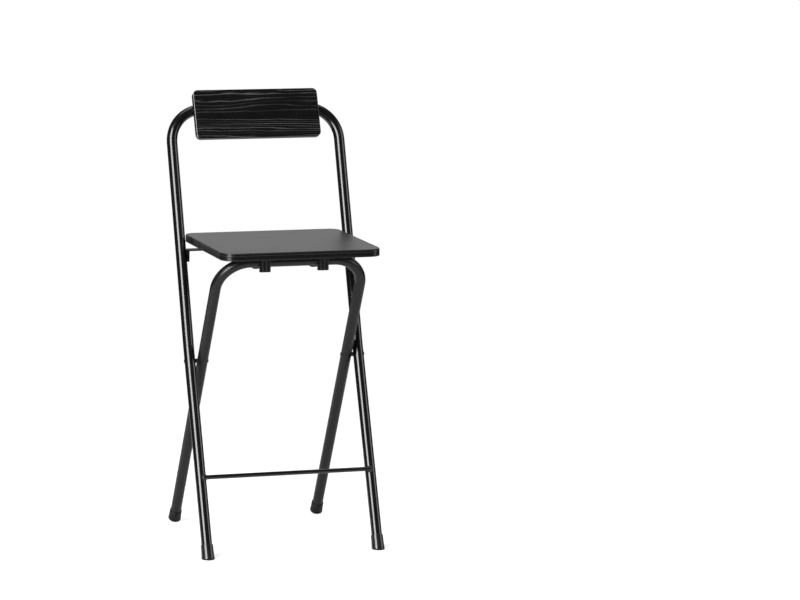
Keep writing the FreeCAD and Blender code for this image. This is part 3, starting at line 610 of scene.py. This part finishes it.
def footOutline(start):
    # radius and height along the tube, from the hollow sole up the wall and down the bore
    size = footSizes
    sole, tread = start + size["hollow"], start + size["treadHollow"]
    (inner, outer), slope, hollowRim = size["tread"], size["slope"], size["hollowRim"]
    outline = [(inner, sole), (inner + slope, tread), (outer - slope, tread), (outer, sole),
               (hollowRim, sole), (hollowRim + slope, start)]
    turn = size["soleRound"]
    outline += quarterRound(size["radius"] - turn, start + turn, turn, -90, 6)
    rim, top, turn = size["rim"], size["high"], size["rimRound"]
    low, high = (top - gap for gap in size["groove"])
    waist, slope = rim - size["grooveDeep"], size["grooveSlope"]
    outline += [(rim, top - size["straight"]), (rim, low), (waist, low + slope), (waist, high - slope),
                (rim, high)]
    outline += quarterRound(rim - turn, top - turn, turn, 0, 4)
    return outline + [(size["bore"], top), (size["bore"], start + size["floorThick"])]


def makeRearFoot(side):
    size = footSizes
    onFloor, axis = rearLegLine(side)
    start = size["radius"] * math.hypot(axis.x, axis.y) / axis.z     # the front edge is on the floor
    rings = [circle(radius, high, size["points"]) for radius, high in footOutline(start)]
    points, faces = [], []
    addSkin(points, faces, rings, layAlong(axis, onFloor))
    label = "left" if side < 0 else "right"
    cap = addMesh("rearCap_" + label, points, faces, rearFootPlastic)
    smoothBelow(cap, size["smooth"])
    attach(cap, "legs")
    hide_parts("rear_foot_" + label)


makeRearFoot(-1)
makeRearFoot(1)
print("rear feet made")

# cross-recessed screws

screwSizes = {
    "headRadius": 0.004, "headHigh": 0.0022, "domeParts": (0.66, 0.78, 0.9, 0.97, 1.0),
    "shankRadius": 0.002, "tip": 0.002, "tipRadius": 0.0002,
    "recessReach": 0.0021, "recessDeep": 0.0015, "recessBevel": 0.0003,
    # parts of the recess's reach: at its floor, on its wall and on the dome close round it
    "recessFloor": 0.3, "recessWall": 0.62, "recessRim": 1.12,
    "points": 36, "smooth": 40, "firstSpin": 0.5, "nextSpin": 0.9,     # degrees, and spins in radians
}


def screwRings(length):
    # rings from the bottom of the recess, over the domed head and down the shank; the tip points along Z
    size, count = screwSizes, screwSizes["points"]
    high, radius, shank = size["headHigh"], size["headRadius"], size["shankRadius"]
    sphere = (radius * radius + high * high) / (2 * high)
    steps = count // 12     # points on each of the cross's twelve edges

    def dome(reach):
        return sphere - high - math.sqrt(sphere * sphere - reach * reach)

    def cross(scale, z=None):
        # without a height the outline lies on the dome
        reach = size["recessReach"] * scale
        width = reach * math.tan(math.tau * steps / 2 / count)
        arm = [(reach, -width), (reach, width), (width, width)]
        corners = []
        for quarter in range(4):
            turn = Matrix.Rotation(math.tau * quarter / 4, 2)
            corners += [turn @ Vector(point) for point in arm]
        outline = []
        for first, second in zip(corners, corners[1:] + corners[:1]):
            outline += [first.lerp(second, step / steps) for step in range(steps)]
        return [(p.x, p.y, dome(p.length) if z is None else z) for p in outline]

    deep = dome(0) + size["recessDeep"]
    rings = [cross(size["recessFloor"], deep), cross(size["recessWall"], deep - size["recessBevel"]),
             cross(1.0), cross(size["recessRim"])]
    spots = [(radius * part, dome(radius * part)) for part in size["domeParts"]]
    spots += [(shank, 0), (shank, length - size["tip"]), (size["tipRadius"], length)]
    return rings + [circle(reach, z, count, steps / 2) for reach, z in spots]


def makeScrews(name, node, body, heads, axis, length):
    # heads are the middles of the heads' undersides; each screw is turned a little differently
    size, rings = screwSizes, screwRings(length)
    points, faces = [], []
    for number, head in enumerate(heads):
        addSkin(points, faces, rings, layAlong(axis, head, size["firstSpin"] + number * size["nextSpin"]))
    screws = addMesh(name, points, faces, zincPlate)
    smoothBelow(screws, size["smooth"])
    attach(screws, body)
    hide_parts(node)


screwSeats = {
    "bite": 0.0105,     # how far a screw reaches into its board
    "strapX": (0.035, 0.095), "strapThick": 0.0025, "clipBack": 0.0295, "clipFloor": 0.003,
    "backX": 0.075, "tubeRadius": 0.011,
}


def makeStrapScrews():
    # from below through the bracket, on the hinge line
    seats = screwSeats
    thick, hingeY = seats["strapThick"], joints["seat_fold"]["pos_m"][1]
    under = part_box("seat_bracket")[1][2] - thick
    heads = [(side * out, hingeY, under) for side in (-1, 1) for out in seats["strapX"]]
    makeScrews("strapScrews", "bracket_screws", "seat", heads, (0, 0, 1), thick + seats["bite"])


def makeHookScrews():
    # from below through the hooks' floors
    seats = screwSeats
    low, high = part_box("seat_clip_right")
    middleX, headZ = (low[0] + high[0]) / 2, low[2] + seats["clipFloor"]
    heads = [(side * middleX, high[1] - seats["clipBack"], headZ) for side in (-1, 1)]
    makeScrews("hookScrews", "clip_screws", "seat", heads, (0, 0, 1), high[2] - headZ + seats["bite"])


def makeBoardScrews():
    # from behind through the back frame's top bar
    seats = screwSeats
    radius, lean = seats["tubeRadius"], math.radians(backrestLean)
    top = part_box("back_frame")[1]
    out = Vector((0, math.cos(lean), -math.sin(lean)))
    head = Vector((0, top[1] - radius, top[2] - radius)) + out * radius
    heads = [(side * seats["backX"], head.y, head.z) for side in (-1, 1)]
    makeScrews("boardScrews", "backrest_screws", "back", heads, -out, 2 * radius + seats["bite"])


makeStrapScrews()
makeHookScrews()
makeBoardScrews()
print("screws made")

# floor, light and camera

studio = {
    "floorSize": 40.0, "floorDrop": 0.0004, "floorShade": 0.62, "floorGlow": 0.62, "floorGleam": 0.04,
    "floorMirror": 0.22, "fade": (0.9, 2.4),     # how far out the floor starts to fade and has faded
    "backdrop": (0.306, 0.939, 0.0), "backdropEdge": (0.68, 0.93), "roomDim": 0.05, "ambient": 0.30,
    "white": (1, 1, 1, 1), "lampTarget": (0, 0, 0.5),
}
lamps = {
    "keyStrip": {"at": (-2.42, -2.09, 1.8), "size": (1.8, 3.5), "watts": 198.0},
    "topBox": {"at": (0.3, 0.4, 3.2), "size": (2.4, 2.4), "watts": 22.0},
    "rightFill": {"at": (2.7, -1.15, 1.3), "size": (1.2, 2.3), "watts": 19.0},
}


def wallLevel(tree, way):
    # how bright the room is in a direction: white behind the stool, dim elsewhere
    facing = addNode(tree, "VectorMath", {0: way, 1: studio["backdrop"]}, operation="DOT_PRODUCT")
    return remap(tree, facing.outputs["Value"], studio["backdropEdge"], (studio["roomDim"], 1.0), smooth=True)


def rayKinds(tree):
    # rays straight from the camera or through glass, mirrored rays, and either of them
    path = addNode(tree, "LightPath").outputs
    straight = larger(tree, path["Is Camera Ray"], path["Is Transmission Ray"])
    mirror = path["Is Glossy Ray"]
    return straight, mirror, larger(tree, straight, mirror)


def makeFloor():
    material = bpy.data.materials.new("paleFloor")
    tree = emptyTree(material)
    straight, mirror, seen = rayKinds(tree)
    shade, white = studio["floorShade"], studio["white"]
    matt = addNode(tree, "BsdfDiffuse", {"Color": (shade, shade, shade, 1)})
    lift = plus(tree, times(tree, straight, studio["floorGlow"]), times(tree, mirror, studio["floorGleam"]))
    glow = addNode(tree, "Emission", {"Color": white, "Strength": lift})
    near = addNode(tree, "AddShader", {0: matt.outputs[0], 1: glow.outputs[0]})
    # farther out the floor runs into the backdrop, and into the dim walls on the other sides
    spot = addNode(tree, "TexCoord").outputs["Object"]
    reach = addNode(tree, "VectorMath", {"Vector": spot}, operation="LENGTH").outputs["Value"]
    away = addNode(tree, "VectorMath", {"Vector": spot}, operation="NORMALIZE").outputs["Vector"]
    level = larger(tree, straight, times(tree, wallLevel(tree, away), studio["floorMirror"]))
    wall = addNode(tree, "Emission", {"Color": white, "Strength": level})
    fade = times(tree, seen, remap(tree, reach, studio["fade"], smooth=True))
    both = addNode(tree, "MixShader", {"Fac": fade, 1: near.outputs[0], 2: wall.outputs[0]})
    addNode(tree, "OutputMaterial", {"Surface": both.outputs[0]})
    half = studio["floorSize"] / 2
    corners = [(-half, -half, 0), (half, -half, 0), (half, half, 0), (-half, half, 0)]
    floor = addMesh("floor", corners, [(0, 1, 2, 3)], material)
    floor.location.z = -studio["floorDrop"]


def makeRoom():
    # a white backdrop behind the stool, and dim walls on the other sides
    world = bpy.data.worlds.new("studioRoom")
    bpy.context.scene.world = world
    tree = emptyTree(world)
    straight, mirror, seen = rayKinds(tree)
    room = wallLevel(tree, addNode(tree, "TexCoord").outputs["Generated"])
    unseen = mathNode(tree, "SUBTRACT", 1.0, seen, clamp=True)
    level = larger(tree, straight, times(tree, mirror, room))
    strength = plus(tree, level, times(tree, unseen, studio["ambient"]))
    sky = addNode(tree, "Background", {"Color": studio["white"], "Strength": strength})
    addNode(tree, "OutputWorld", {"Surface": sky.outputs[0]})


def softbox(name, lamp):
    light = bpy.data.lights.new(name, "AREA")
    light.shape = "RECTANGLE"
    light.size, light.size_y = lamp["size"]
    light.energy = lamp["watts"]
    box = bpy.data.objects.new(name, light)
    box.location = lamp["at"]
    way = Vector(lamp["at"]) - Vector(studio["lampTarget"])
    box.rotation_euler = way.to_track_quat("Z", "Y").to_euler()
    bpy.context.scene.collection.objects.link(box)


# the view that matches the photograph; angles in degrees, focal length and sensor in millimetres
lens = {
    "azimuth": -18.06, "elevation": 8.83, "roll": 0.69, "distance": 7.5287,
    "lookAt": (0.27962, 0.0215, 0.48233), "focal": 163.22, "sensor": 36.0, "farthest": 100,
}


def makeCamera():
    azimuth, elevation, roll = (math.radians(lens[key]) for key in ("azimuth", "elevation", "roll"))
    back = Vector((math.sin(azimuth) * math.cos(elevation), -math.cos(azimuth) * math.cos(elevation),
                   math.sin(elevation)))
    right = Vector((math.cos(azimuth), math.sin(azimuth), 0))
    up = back.cross(right)
    tiltedRight = right * math.cos(roll) + up * math.sin(roll)
    tiltedUp = up * math.cos(roll) - right * math.sin(roll)
    data = bpy.data.cameras.new("camera")
    data.lens, data.sensor_width = lens["focal"], lens["sensor"]
    data.clip_end = lens["farthest"]
    camera = bpy.data.objects.new("camera", data)
    turn = Matrix((tiltedRight, tiltedUp, back)).transposed().to_4x4()
    turn.translation = Vector(lens["lookAt"]) + back * lens["distance"]
    camera.matrix_world = turn
    bpy.context.scene.collection.objects.link(camera)
    bpy.context.scene.camera = camera


makeFloor()
makeRoom()
for name, lamp in lamps.items():
    softbox(name, lamp)
makeCamera()
bpy.context.scene.view_settings.view_transform = "Standard"
print("studio ready")
